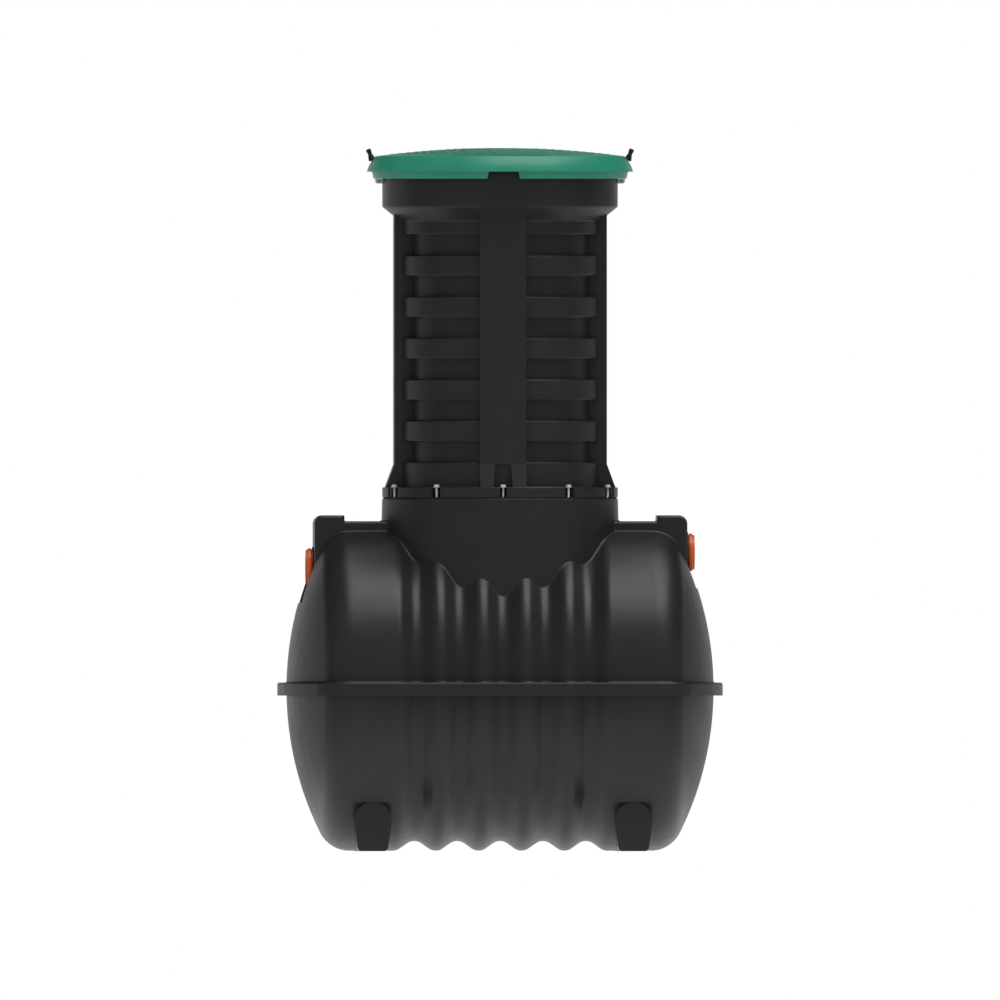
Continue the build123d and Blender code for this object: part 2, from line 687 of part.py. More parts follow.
def bolt_window():
    """The opening in a gusset that gives room for a spanner, on the +X side."""
    low = WINDOW_WIDTH / 2 + WINDOW_WIDENING / 2
    high = WINDOW_WIDTH / 2 - WINDOW_WIDENING / 2
    corners = [(-low, RISER_FLANGE_TOP), (low, RISER_FLANGE_TOP), (high, GUSSET_TOP), (-high, GUSSET_TOP)]
    corner = WINDOW_CORNER_RADIUS
    face = make_face(FilletPolyline(*corners, radius=[0, 0, corner, corner], close=True))
    return Pos(RIB_RADIUS + RISER_WALL, 0, 0) * extrude(Plane.YZ * face, 2 * RISER_FLANGE_RADIUS)


def clip_seat(side):
    """The flat on the head that carries one lock clip."""
    top = HEAD_TOP - CLIP_BELOW_HEAD
    seat = block((CLIP_FACE, 2 * CLIP_FACE), (-CLIP_WIDTH / 2, CLIP_WIDTH / 2), (top - CLIP_HEIGHT, top))
    return seat if side > 0 else mirror(seat, Plane.YZ)


def make_lock_clip(side):
    """A catch on the head for one lock screw."""
    top = HEAD_TOP - CLIP_BELOW_HEAD
    half = CLIP_WIDTH / 2
    clip = block((CLIP_FACE, CLIP_REACH), (-half, half), (top - CLIP_HEIGHT, top))
    clip = fillet(clip.edges().filter_by(Axis.Y).group_by(Axis.Z)[0].sort_by(Axis.X)[-1], CLIP_CORNER_RADIUS)
    return clip if side > 0 else mirror(clip, Plane.YZ)


def screw_place(side):
    """Where a lock screw sits: its own Z runs up and outward along the screw."""
    seat_height = LID_SHOULDER - SCREW_SEAT_BELOW_SHOULDER
    return Pos(side * SCREW_SEAT_RADIUS, 0, seat_height) * Rot(0, side * SCREW_TILT, 0)


def make_lock_screw(side):
    """A waisted hand screw with its shank."""
    base_edge = SCREW_BASE_EDGE_RADIUS
    tip_edge = SCREW_TIP_EDGE_RADIUS
    grip = turned(
        [
            (0, 0),
            (SCREW_BASE_RADIUS, 0),
            (SCREW_BASE_RADIUS, SCREW_BASE_HEIGHT),
            (SCREW_WAIST_RADIUS, SCREW_WAIST_HEIGHT),
            (SCREW_TIP_RADIUS, SCREW_TIP_FOOT),
            (SCREW_TIP_RADIUS, SCREW_HEIGHT),
            (0, SCREW_HEIGHT),
        ],
        [0, base_edge, base_edge, SCREW_WAIST_ROUNDING, tip_edge, tip_edge, 0],
    )
    shank = upright(SCREW_SHANK_RADIUS, -SCREW_SHANK_LENGTH, 1)
    return screw_place(side) * (grip + shank)


def lid_outline(inset):
    """The upper surface of the lid from the axis to the lip, moved in by inset."""
    chord = LID_SHOULDER_RADIUS
    dome_radius = (chord**2 + LID_DOME_HEIGHT**2) / (2 * LID_DOME_HEIGHT)
    centre = LID_TOP - dome_radius
    lean = degrees(acos(min(1.0, (LID_SHOULDER - centre) / dome_radius)))
    return centre, dome_radius - inset, lean


def lid_body(inset):
    """The solid under the lid's upper surface, its surface moved in by inset."""
    centre, radius, lean = lid_outline(inset)
    lip = LID_LIP_RADIUS - inset
    lip_height = LID_LIP + inset / 2
    floor = lip_height if inset else LID_LIP - LID_LIP_THICKNESS
    edge_r = radius * sin(radians(lean)) - inset * LID_CORNER_SHARE
    edge_z = centre + sqrt(radius**2 - edge_r**2)
    bulge_r = (edge_r + lip) / 2 + SHOULDER_BULGE * cos(radians(SHOULDER_BULGE_TILT))
    bulge_z = (edge_z + lip_height) / 2 + SHOULDER_BULGE * sin(radians(SHOULDER_BULGE_TILT))
    half_r = edge_r / 2
    top = ThreePointArc((0, centre + radius), (half_r, centre + sqrt(radius**2 - half_r**2)), (edge_r, edge_z))
    shoulder = ThreePointArc((edge_r, edge_z), (bulge_r, bulge_z), (lip, lip_height))
    rest = [(lip, lip_height), (lip, floor), (0, floor), (0, centre + radius)]
    if inset:
        rest.pop(0)
    return revolve(Plane.XZ * make_face(Curve() + top + shoulder + Polyline(*rest)), Axis.Z)


def make_lid():
    """The domed lid with its skirt, seat ring, front notch and screw bosses."""
    under_lip = LID_LIP - LID_LIP_THICKNESS
    skirt_foot = under_lip - SKIRT_DEPTH
    outside = lid_body(0)
    inside = lid_body(LID_WALL)
    skirt_wall = LID_WALL
    skirt = turned(
        [
            (SKIRT_TOP_RADIUS - skirt_wall, under_lip + SKIRT_LAP),
            (SKIRT_TOP_RADIUS, under_lip + SKIRT_LAP),
            (SKIRT_FOOT_RADIUS, skirt_foot),
            (SKIRT_FOOT_RADIUS - skirt_wall, skirt_foot),
        ]
    )
    seat = HEAD_TOP + LID_SEAL_THICKNESS + LID_SEAT_GAP
    ring_outer = HEAD_RADIUS
    ring_inner = ring_outer - RISER_WALL
    ring = upright(ring_outer, seat, LID_SHOULDER) - upright(ring_inner, seat - 1, TALL)
    lid = outside - inside + skirt
    lid -= upright(SKIRT_TOP_RADIUS - skirt_wall, under_lip - 1, LID_LIP + LID_WALL)
    lid += ring
    lid -= notch()
    boss = upright(SCREW_SHANK_RADIUS + SCREW_HOLE_CLEARANCE + SCREW_BOSS_WALL, -SCREW_BOSS_LENGTH, 0)
    hole = upright(SCREW_SHANK_RADIUS + SCREW_HOLE_CLEARANCE, -SCREW_SHANK_LENGTH, SCREW_HEIGHT)
    face = upright(SCREW_BASE_RADIUS + SCREW_HOLE_CLEARANCE, 0, SCREW_HEIGHT)
    for side in (-1, 1):
        place = screw_place(side)
        lid += (place * boss) & outside
        lid -= place * hole
        lid -= place * face
    return lid


def notch():
    """The opening in the front of the skirt."""
    top = LID_LIP - LID_LIP_THICKNESS
    low = NOTCH_WIDTH_BELOW / 2
    high = NOTCH_WIDTH_ABOVE / 2
    bottom = top - SKIRT_DEPTH - 1
    corners = [(-low, bottom), (low, bottom), (high, top), (-high, top)]
    return extrude(Plane.XZ * make_face(Polyline(*corners, close=True)), 2 * HEAD_RADIUS)


def make_lid_seal():
    """The rubber ring under the seat ring of the lid."""
    bottom = HEAD_TOP + LID_SEAT_GAP
    outer = HEAD_RADIUS - (RISER_WALL - LID_SEAL_WIDTH) / 2
    ring = upright(outer, bottom, bottom + LID_SEAL_THICKNESS)
    return ring - upright(outer - LID_SEAL_WIDTH, bottom - 1, bottom + LID_SEAL_THICKNESS + 1)


def main():
    """Make every piece."""
    os.makedirs("parts", exist_ok=True)
    outer_body = body_solid(0)
    inner_body = body_solid(BODY_WALL)
    pieces = parted_lower_half(make_lower_half(outer_body, inner_body))
    pieces |= parted_upper_half(make_upper_half(outer_body, inner_body))
    pieces |= parted_riser(make_riser())
    for name, piece in pieces.items():
        save(piece, name)
    save(make_shell_seal(), "shell_seal")
    save(make_neck_seal(), "neck_seal")
    save(make_lid(), "lid")
    save(make_lid_seal(), "lid_seal")
    for side, hand in ((-1, "left"), (1, "right")):
        save(make_lock_screw(side), "lock_screw_" + hand)
        save(make_lock_clip(side), "lock_clip_" + hand)
    for side, end, height in ((1, "inlet", INLET_HEIGHT), (-1, "outlet", OUTLET_HEIGHT)):
        save(along_pipe(make_socket(), side, height), end + "_socket")
        save(along_pipe(make_socket_ring(), side, height), end + "_socket_ring")
        save(along_pipe(make_grommet(), side, height), end + "_grommet")
        save(make_dip_tee(side, height), end + "_dip_tee")


main()
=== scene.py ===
"""Looks of the septic tank: materials, bolts and their slots, lid texture, studio light and camera.

Metres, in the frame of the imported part: +X to the inlet, +Y to the back, +Z up.
"""

import json
import math

import bmesh
import bpy
from mathutils import Matrix, Vector


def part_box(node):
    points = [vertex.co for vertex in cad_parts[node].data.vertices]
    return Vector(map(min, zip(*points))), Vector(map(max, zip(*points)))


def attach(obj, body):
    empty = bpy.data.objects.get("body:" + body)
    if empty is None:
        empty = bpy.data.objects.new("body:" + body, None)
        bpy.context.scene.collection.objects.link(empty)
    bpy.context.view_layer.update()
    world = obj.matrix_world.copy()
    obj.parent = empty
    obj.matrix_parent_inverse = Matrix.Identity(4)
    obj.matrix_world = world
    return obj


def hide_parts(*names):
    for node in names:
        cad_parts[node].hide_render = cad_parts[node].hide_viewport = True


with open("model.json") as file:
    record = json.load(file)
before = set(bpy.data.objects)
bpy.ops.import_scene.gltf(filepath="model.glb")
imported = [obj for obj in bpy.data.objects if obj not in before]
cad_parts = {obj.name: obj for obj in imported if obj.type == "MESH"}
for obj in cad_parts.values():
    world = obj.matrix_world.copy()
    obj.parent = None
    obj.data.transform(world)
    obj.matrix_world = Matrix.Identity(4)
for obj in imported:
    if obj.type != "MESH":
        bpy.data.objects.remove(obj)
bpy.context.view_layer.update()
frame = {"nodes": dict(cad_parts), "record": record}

# Places read from the frame
RISER_LOW, RISER_BASE_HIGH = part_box("riser_base")
RISER_BASE_SEAM = RISER_BASE_HIGH.z
NECK_SEAL_LOW, NECK_SEAL_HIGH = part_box("neck_seal")
LID_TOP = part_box("lid")[1].z

# Flush seams inside one moulding of the real tank
LOWER_END_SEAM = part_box("lower_front_side")[1].x
UPPER_END_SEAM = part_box("upper_front_side")[1].x
NECK_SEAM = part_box("neck")[1].x
FOOT_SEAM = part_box("lower_bottom")[1].z
RISER_HEAD_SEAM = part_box("riser_front_wall")[1].z
SEAM_CLEARANCE = 0.006

# Camera
CAMERA_AZIMUTH = -1.65
CAMERA_TARGET_HEIGHT = 1.194
CAMERA_SPAN = 3.4
CAMERA_DISTANCE = 12.0
CAMERA_CLIP_END = 100.0

# Riser bolts
BOLT_COUNT = 10
BOLT_CIRCLE_RADIUS = 0.381
FLANGE_THICKNESS = 0.034
FLANGE_TOP = RISER_LOW.z + FLANGE_THICKNESS
BOLT_SHANK_RADIUS = 0.005
BOLT_REACH_BELOW_SEAL = 0.018
BOLT_HEAD_ACROSS_FLATS = 0.016
BOLT_HEAD_HEIGHT = 0.0075
BOLT_HEAD_CHAMFER = 0.0006
BOLT_HEAD_SIDES = 6
BOLT_TURN_STEP = 0.37
WASHER_RADIUS = 0.013
WASHER_HOLE_RADIUS = 0.0055
WASHER_THICKNESS = 0.002
WASHER_EDGE = 0.0003
WASHER_STEPS = 36
THREAD_PITCH = 0.0015
THREAD_DEPTH = 0.0006
THREAD_STEPS = 16
THREAD_MIDDLE = 0.0005

# Bolt slots of the riser's base, which open the way the mould does, to the front and the back
SLOT_WIDTH = 0.022
SLOT_REACH = 0.42
SLOT_MARGIN = 0.001
WELD_DISTANCE = 0.00001

# Pins of the lock clips
PIN_RADIUS = 0.0025
PIN_HEIGHT = 0.002
PIN_EDGE = 0.0006
PIN_MIDDLE = 0.0003
PIN_STEPS = 20

# Anti-slip studs on the lid
DOME_RADIUS = 3.209
STUD_HEIGHT = 0.0009
STUD_LENGTH = 0.028
STUD_WIDTH = 0.006
STUD_STEPS = 12
STUD_SINK = 0.0008
STUD_LEVELS = ((1.0, 0.0), (0.9, 0.6), (0.62, 1.0))
STUD_FIRST_RING = 0.13
STUD_LAST_RING = 0.395
STUD_RING_STEP = 0.0265
STUD_SPACING = 0.046

# Degrees between faces above which an edge stays sharp
SMALL_PART_ANGLE = 35
STUD_ANGLE = 50
BASE_ANGLE = 30

# Materials: the usual values of a noise, and how far the roughness of a plastic wanders
NOISE_LOW = 0.3
NOISE_HIGH = 0.7
SHEEN_BELOW = 0.03
SHEEN_ABOVE = 0.04
EDGE_SAMPLES = 6


def linked(name, data):
    """A new object in the scene."""
    piece = bpy.data.objects.new(name, data)
    bpy.context.scene.collection.objects.link(piece)
    return piece


def new_object(name, mesh, material, body):
    """Link a mesh as a named piece with its material and body."""
    piece = linked(name, mesh)
    mesh.materials.append(material)
    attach(piece, body)
    return piece


def turn_outward(mesh, weld_distance=None):
    """Turn the faces of a mesh outward, and first join vertices that lie in one place."""
    work = bmesh.new()
    work.from_mesh(mesh)
    if weld_distance is not None:
        bmesh.ops.remove_doubles(work, verts=work.verts, dist=weld_distance)
    bmesh.ops.recalc_face_normals(work, faces=work.faces)
    work.to_mesh(mesh)
    work.free()


def smooth(mesh, angle):
    """Smooth shading, with edges sharp above an angle in degrees."""
    mesh.shade_smooth()
    mesh.set_sharp_from_angle(angle=math.radians(angle))


def mesh_from(name, vertices, faces, smooth_angle=None):
    """A mesh from plain lists, with its faces turned outward."""
    mesh = bpy.data.meshes.new(name)
    mesh.from_pydata(vertices, [], faces)
    turn_outward(mesh)
    if smooth_angle is not None:
        smooth(mesh, smooth_angle)
    return mesh


def lathe(profile, steps):
    """Vertices and faces of a closed ring turned from (radius, height) points about Z."""
    vertices = []
    faces = []
    count = len(profile)
    for step in range(steps):
        turn = 2 * math.pi * step / steps
        for radius, height in profile:
            vertices.append((radius * math.cos(turn), radius * math.sin(turn), height))
    for step in range(steps):
        here = step * count
        there = (step + 1) % steps * count
        for index in range(count):
            following = (index + 1) % count
            faces.append((here + index, there + index, there + following, here + following))
    return vertices, faces


def shifted(vertices, place):
    """Vertices moved by a matrix."""
    return [tuple(place @ Vector(vertex)) for vertex in vertices]


def joined(parts):
    """One vertex and face list from several."""
    vertices = []
    faces = []
    for some_vertices, some_faces in parts:
        start = len(vertices)
        vertices += some_vertices
        faces += [tuple(start + index for index in face) for face in some_faces]
    return vertices, faces


class Nodes:
    """A node tree with short calls for its nodes and sums."""

    def __init__(self, tree):
        self.tree = tree

    def new(self, kind):
        """A new node, its kind named without the first word."""
        return self.tree.nodes.new("ShaderNode" + kind)

    def link(self, output, socket):
        """Join an output to a socket."""
        self.tree.links.new(output, socket)

    def sum(self, operation, first, second=0.0):
        """One math node over sockets or numbers."""
        node = self.new("Math")
        node.operation = operation
        for socket, value in zip(node.inputs, (first, second)):
            if isinstance(value, (int, float)):
                socket.default_value = value
            else:
                self.link(value, socket)
        return node.outputs[0]

    def split(self, vector):
        """The three numbers of a vector."""
        node = self.new("SeparateXYZ")
        self.link(vector, node.inputs[0])
        return node.outputs

    def rise(self, value, low, high, top=1.0):
        """0 below one value and the top above the other, with a soft step between."""
        node = self.new("MapRange")
        node.interpolation_type = "SMOOTHSTEP"
        node.inputs["From Min"].default_value = low
        node.inputs["From Max"].default_value = high
        node.inputs["To Max"].default_value = top
        self.link(value, node.inputs["Value"])
        return node.outputs["Result"]

    def rays(self):
        """What kind of ray meets the surface."""
        return self.new("LightPath").outputs


class Shader(Nodes):
    """A material's tree with short calls for the nodes that the materials share."""

    def __init__(self, name):
        self.material = bpy.data.materials.new(name)
        self.material.use_nodes = True
        super().__init__(self.material.node_tree)
        self.surface = self.tree.nodes["Principled BSDF"]
        self.place = self.new("TexCoord").outputs["Object"]

    def noise(self, scale, detail=4.0, roughness=0.55, stretch=None):
        """Noise over the object's own coordinates, in bumps a metre."""
        node = self.new("TexNoise")
        node.inputs["Scale"].default_value = scale
        node.inputs["Detail"].default_value = detail
        node.inputs["Roughness"].default_value = roughness
        source = self.place
        if stretch:
            mapping = self.new("Mapping")
            mapping.inputs["Scale"].default_value = stretch
            self.link(self.place, mapping.inputs["Vector"])
            source = mapping.outputs["Vector"]
        self.link(source, node.inputs["Vector"])
        return node.outputs["Fac"]

    def ramp(self, factor, stops):
        """A colour ramp over a factor, from two (position, colour) stops."""
        node = self.new("ValToRGB")
        for element, (position, colour) in zip(node.color_ramp.elements, stops):
            element.position = position
            element.color = (*colour, 1.0)
        self.link(factor, node.inputs["Fac"])
        return node.outputs["Color"]

    def spread(self, factor, low, high):
        """The usual values of a noise moved onto a range."""
        node = self.new("MapRange")
        node.inputs["From Min"].default_value = NOISE_LOW
        node.inputs["From Max"].default_value = NOISE_HIGH
        node.inputs["To Min"].default_value = low
        node.inputs["To Max"].default_value = high
        self.link(factor, node.inputs["Value"])
        return node.outputs["Result"]

    def bump(self, height, strength, distance, normal=None):
        """A bump of a height in metres."""
        node = self.new("Bump")
        node.inputs["Strength"].default_value = strength
        node.inputs["Distance"].default_value = distance
        self.link(height, node.inputs["Height"])
        if normal is not None:
            self.link(normal, node.inputs["Normal"])
        return node.outputs["Normal"]

    def soft_edges(self, radius, seams):
        """Normals that round every edge by a radius, but none beside a flush seam."""
        node = self.new("Bevel")
        node.samples = EDGE_SAMPLES
        node.inputs["Radius"].default_value = radius
        if not seams:
            return node.outputs["Normal"]
        mix = self.new("Mix")
        mix.data_type = "VECTOR"
        self.link(self.away_from_seams(), mix.inputs["Factor"])
        self.link(self.new("NewGeometry").outputs["Normal"], mix.inputs[4])
        self.link(node.outputs["Normal"], mix.inputs[5])
        return mix.outputs[1]

    def away_from_seams(self):
        """0 beside a flush seam of a moulding, where a rounded edge would show it, and 1 elsewhere."""
        x, y, z = self.split(self.place)
        reach = self.sum("SQRT", self.sum("ADD", self.sum("MULTIPLY", x, x), self.sum("MULTIPLY", y, y)))
        across = self.sum("ABSOLUTE", x)
        gaps = [self.sum("SUBTRACT", across, seam) for seam in (LOWER_END_SEAM, UPPER_END_SEAM)]
        gaps.append(self.sum("SUBTRACT", reach, NECK_SEAM))
        gaps += [self.sum("SUBTRACT", z, seam) for seam in (FOOT_SEAM, RISER_BASE_SEAM, RISER_HEAD_SEAM)]
        nearest = self.corner_gap(across, self.sum("ABSOLUTE", y), z)
        for gap in gaps:
            nearest = self.sum("MINIMUM", self.sum("ABSOLUTE", gap), nearest)
        return self.sum("GREATER_THAN", nearest, SEAM_CLEARANCE)

    def corner_gap(self, across, along, z):
        """How far a place is from the upright seams between the riser's four walls."""
        side = self.sum("ABSOLUTE", self.sum("SUBTRACT", across, along))
        below = self.sum("SUBTRACT", RISER_BASE_SEAM, z)
        above = self.sum("SUBTRACT", z, RISER_HEAD_SEAM)
        return self.sum("MAXIMUM", side, self.sum("MAXIMUM", below, above))


def moulded_plastic(name, tones, roughness, specular, edge_radius, grain, seams=False):
    """Moulded plastic with a faint mottle between two tones, worn sheen, fine grain and soft edges."""
    shader = Shader(name)
    surface = shader.surface
    dark, light = tones
    mottle = shader.noise(scale=9.0, detail=6.0)
    shader.link(shader.ramp(mottle, [(NOISE_LOW, dark), (NOISE_HIGH, light)]), surface.inputs["Base Color"])
    sheen = shader.noise(scale=23.0, detail=5.0, roughness=0.6, stretch=(1.0, 1.0, 0.35))
    worn = shader.spread(sheen, roughness - SHEEN_BELOW, roughness + SHEEN_ABOVE)
    shader.link(worn, surface.inputs["Roughness"])
    surface.inputs["Specular IOR Level"].default_value = specular
    normal = shader.soft_edges(edge_radius, seams)
    waves = shader.noise(scale=30.0, detail=2.0)
    normal = shader.bump(waves, strength=0.1, distance=0.0006, normal=normal)
    grains = shader.noise(scale=1400.0, detail=2.0, roughness=0.5)
    normal = shader.bump(grains, strength=grain, distance=0.00012, normal=normal)
    shader.link(normal, surface.inputs["Normal"])
    return shader.material


def rubber(name):
    """Black rubber, dull and a little dusty."""
    shader = Shader(name)
    surface = shader.surface
    dust = shader.noise(scale=60.0, detail=6.0)
    stops = [(0.35, (0.008, 0.008, 0.008)), (0.8, (0.02, 0.02, 0.019))]
    shader.link(shader.ramp(dust, stops), surface.inputs["Base Color"])
    shader.link(shader.spread(dust, low=0.62, high=0.78), surface.inputs["Roughness"])
    surface.inputs["Specular IOR Level"].default_value = 0.3
    pores = shader.noise(scale=900.0, detail=3.0)
    shader.link(shader.bump(pores, strength=0.3, distance=0.0001), surface.inputs["Normal"])
    return shader.material


def zinc_steel(name):
    """Zinc-plated steel with fine scratches and cloudy plating."""
    shader = Shader(name)
    surface = shader.surface
    cloud = shader.noise(scale=260.0, detail=5.0)
    stops = [(0.3, (0.78, 0.78, 0.79)), (0.75, (0.9, 0.9, 0.9))]
    shader.link(shader.ramp(cloud, stops), surface.inputs["Base Color"])
    wear = shader.noise(scale=800.0, detail=4.0)
    shader.link(shader.spread(wear, low=0.35, high=0.5), surface.inputs["Roughness"])
    surface.inputs["Metallic"].default_value = 0.7
    scratches = shader.noise(scale=2500.0, detail=3.0)
    shader.link(shader.bump(scratches, strength=0.2, distance=0.00005), surface.inputs["Normal"])
    return shader.material


def make_materials():
    """One material for each slot of the record, and one for the steel."""
    return {
        "tank_plastic": moulded_plastic(
            "black_polyethylene",
            tones=((0.015, 0.015, 0.0152), (0.0175, 0.0175, 0.0178)),
            roughness=0.34, specular=0.3, edge_radius=0.002, grain=0.3, seams=True,
        ),
        "lid_plastic": moulded_plastic(
            "green_polyethylene",
            tones=((0.017, 0.19, 0.12), (0.021, 0.215, 0.138)),
            roughness=0.31, specular=0.3, edge_radius=0.003, grain=0.3,
        ),
        "pipe_plastic": moulded_plastic(
            "orange_pipe_plastic",
            tones=((0.5, 0.082, 0.011), (0.57, 0.095, 0.014)),
            roughness=0.3, specular=0.45, edge_radius=0.0015, grain=0.12,
        ),
        "screw_plastic": moulded_plastic(
            "screw_plastic",
            tones=((0.006, 0.006, 0.0065), (0.01, 0.01, 0.01)),
            roughness=0.36, specular=0.4, edge_radius=0.001, grain=0.25,
        ),
        "clip_plastic": moulded_plastic(
            "clip_plastic",
            tones=((0.38, 0.38, 0.38), (0.44, 0.44, 0.44)),
            roughness=0.4, specular=0.5, edge_radius=0.0015, grain=0.25,
        ),
        "seal_rubber": rubber("black_rubber"),
        "steel": zinc_steel("zinc_plated_steel"),
    }


def dress_nodes(materials):
    """Give every CAD node its slot's material."""
    slots = {row["node"]: row["material_slot"] for row in frame["record"]["subparts"]}
    for name, node in frame["nodes"].items():
        node.data.materials.clear()
        node.data.materials.append(materials[slots[name]])


def stack_faces(count, levels):
    """Faces of a solid from rings of so many points, stacked upward, with both ends closed."""
    faces = []
    for level in range(levels - 1):
        for step in range(count):
            low = level * count + step
            next_low = level * count + (step + 1) % count
            faces.append((low, next_low, next_low + count, low + count))
    faces.append(tuple(range(count)))
    faces.append(tuple(range((levels - 1) * count, levels * count)))
    return faces


def bolt_head():
    """A hexagon head with chamfered corners, standing on z = 0."""
    flat = BOLT_HEAD_ACROSS_FLATS / 2
    corner = flat / math.cos(math.pi / BOLT_HEAD_SIDES)
    rings = [(corner, 0.0), (corner, BOLT_HEAD_HEIGHT - BOLT_HEAD_CHAMFER), (flat, BOLT_HEAD_HEIGHT)]
    vertices = []
    for radius, height in rings:
        for side in range(BOLT_HEAD_SIDES):
            turn = 2 * math.pi / BOLT_HEAD_SIDES * side
            vertices.append((radius * math.cos(turn), radius * math.sin(turn), height))
    return vertices, stack_faces(BOLT_HEAD_SIDES, len(rings))


def bolt_shank(length):
    """A threaded shank hanging down from z = 0."""
    profile = [(THREAD_MIDDLE, 0.0)]
    turns = int(length / THREAD_PITCH)
    for turn in range(turns):
        height = -turn * THREAD_PITCH
        profile.append((BOLT_SHANK_RADIUS, height))
        profile.append((BOLT_SHANK_RADIUS - THREAD_DEPTH, height - THREAD_PITCH / 2))
    profile.append((THREAD_MIDDLE, -length))
    return lathe(profile, THREAD_STEPS)


def washer():
    """A flat washer on z = 0."""
    rim = WASHER_RADIUS - WASHER_EDGE
    profile = [
        (WASHER_HOLE_RADIUS, 0.0),
        (rim, 0.0),
        (WASHER_RADIUS, WASHER_EDGE),
        (WASHER_RADIUS, WASHER_THICKNESS - WASHER_EDGE),
        (rim, WASHER_THICKNESS),
        (WASHER_HOLE_RADIUS, WASHER_THICKNESS),
    ]
    return lathe(profile, WASHER_STEPS)


def bolt_turns():
    """The turns at which the bolts stand, from the front on."""
    return [math.radians(-90 + index * 360 / BOLT_COUNT) for index in range(BOLT_COUNT)]


def bolt_place(turn):
    """Where the bolt at a turn stands on the base flange."""
    return (BOLT_CIRCLE_RADIUS * math.cos(turn), BOLT_CIRCLE_RADIUS * math.sin(turn), FLANGE_TOP)


def make_bolts(steel):
    """The bolts that hold the riser on the neck, each with its washer."""
    length = FLANGE_THICKNESS + NECK_SEAL_HIGH.z - NECK_SEAL_LOW.z + BOLT_REACH_BELOW_SEAL
    raised = Matrix.Translation((0, 0, WASHER_THICKNESS))
    for index, turn in enumerate(bolt_turns()):
        place = Matrix.Translation(bolt_place(turn))
        spin = Matrix.Rotation(turn + BOLT_TURN_STEP * index, 4, "Z")
        head, head_faces = bolt_head()
        bolt, bolt_faces = joined([(shifted(head, spin), head_faces), bolt_shank(length)])
        ring, ring_faces = washer()
        number = f"{index + 1:02d}"
        for name, vertices, faces in (
            ("neck_bolt_" + number, shifted(bolt, place @ raised), bolt_faces),
            ("neck_washer_" + number, shifted(ring, place), ring_faces),
        ):
            new_object(name, mesh_from(name, vertices, faces, SMALL_PART_ANGLE), steel, "root")


def box_shape(low, high):
    """Vertices and faces of a box between two corners."""
    vertices = [(x, y, z) for x in (low[0], high[0]) for y in (low[1], high[1]) for z in (low[2], high[2])]
    faces = [(0, 1, 3, 2), (4, 6, 7, 5), (0, 4, 5, 1), (2, 3, 7, 6), (0, 2, 6, 4), (1, 5, 7, 3)]
    return vertices, faces


def slot_cutter():
    """Boxes from each bolt out past the front or back of the base."""
    half = SLOT_WIDTH / 2
    low = RISER_LOW.z - SLOT_MARGIN
    high = FLANGE_TOP + SLOT_MARGIN
    boxes = []
    for turn in bolt_turns():
        x, y, _ = bolt_place(turn)
        near, far = sorted((y, math.copysign(SLOT_REACH, y)))
        boxes.append(box_shape((x - half, near, low), (x + half, far, high)))
    return linked("slot_cutter", mesh_from("slot_cutter", *joined(boxes)))


def make_slotted_base(plastic):
    """The riser's base with its bolt slots opened to the front and back."""
    name = "riser_base_slotted"
    node = frame["nodes"]["riser_base"]
    vertices = shifted([vertex.co for vertex in node.data.vertices], node.matrix_world)
    mesh = mesh_from(name, vertices, [tuple(face.vertices) for face in node.data.polygons])
    turn_outward(mesh, WELD_DISTANCE)
    piece = linked(name, mesh)
    cutter = slot_cutter()
    cut = piece.modifiers.new("slots", "BOOLEAN")
    cut.operation = "DIFFERENCE"
    cut.solver = "EXACT"
    cut.object = cutter
    slotted = bpy.data.meshes.new_from_object(piece.evaluated_get(bpy.context.evaluated_depsgraph_get()))
    piece.modifiers.clear()
    piece.data = slotted
    bpy.data.objects.remove(cutter)
    slotted.materials.clear()
    slotted.materials.append(plastic)
    smooth(slotted, BASE_ANGLE)
    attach(piece, "root")
    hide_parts("riser_base")


def make_clip_pins(plastic):
    """The black pin through the front of each lock clip."""
    profile = [
        (PIN_MIDDLE, 0.0),
        (PIN_RADIUS, 0.0),
        (PIN_RADIUS, PIN_HEIGHT - PIN_EDGE),
        (PIN_RADIUS - PIN_EDGE, PIN_HEIGHT),
        (PIN_MIDDLE, PIN_HEIGHT),
    ]
    vertices, faces = lathe(profile, PIN_STEPS)
    for hand in ("left", "right"):
        name = "clip_pin_" + hand
        low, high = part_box("lock_clip_" + hand)
        middle = (low + high) / 2
        place = Matrix.Translation((middle.x, low.y, middle.z)) @ Matrix.Rotation(math.pi / 2, 4, "X")
        mesh = mesh_from(name, shifted(vertices, place), faces, SMALL_PART_ANGLE)
        new_object(name, mesh, plastic, "root")


def dome_height(radius):
    """Height of the lid's dome at a distance from its middle."""
    return LID_TOP - DOME_RADIUS + math.sqrt(DOME_RADIUS**2 - radius**2)


def stud_shape():
    """One low oval stud along Y, its foot a little below z = 0, as vertices and faces."""
    vertices = []
    levels = [(1.0, -STUD_SINK)] + [(share, height * STUD_HEIGHT) for share, height in STUD_LEVELS]
    for share, rise in levels:
        inset = STUD_WIDTH / 2 * share
        for step in range(STUD_STEPS):
            turn = 2 * math.pi * step / STUD_STEPS
            along = (STUD_LENGTH - STUD_WIDTH) / 2 * (1 if math.sin(turn) >= 0 else -1)
            vertices.append((inset * math.cos(turn), along + inset * math.sin(turn), rise))
    return vertices, stack_faces(STUD_STEPS, len(levels))


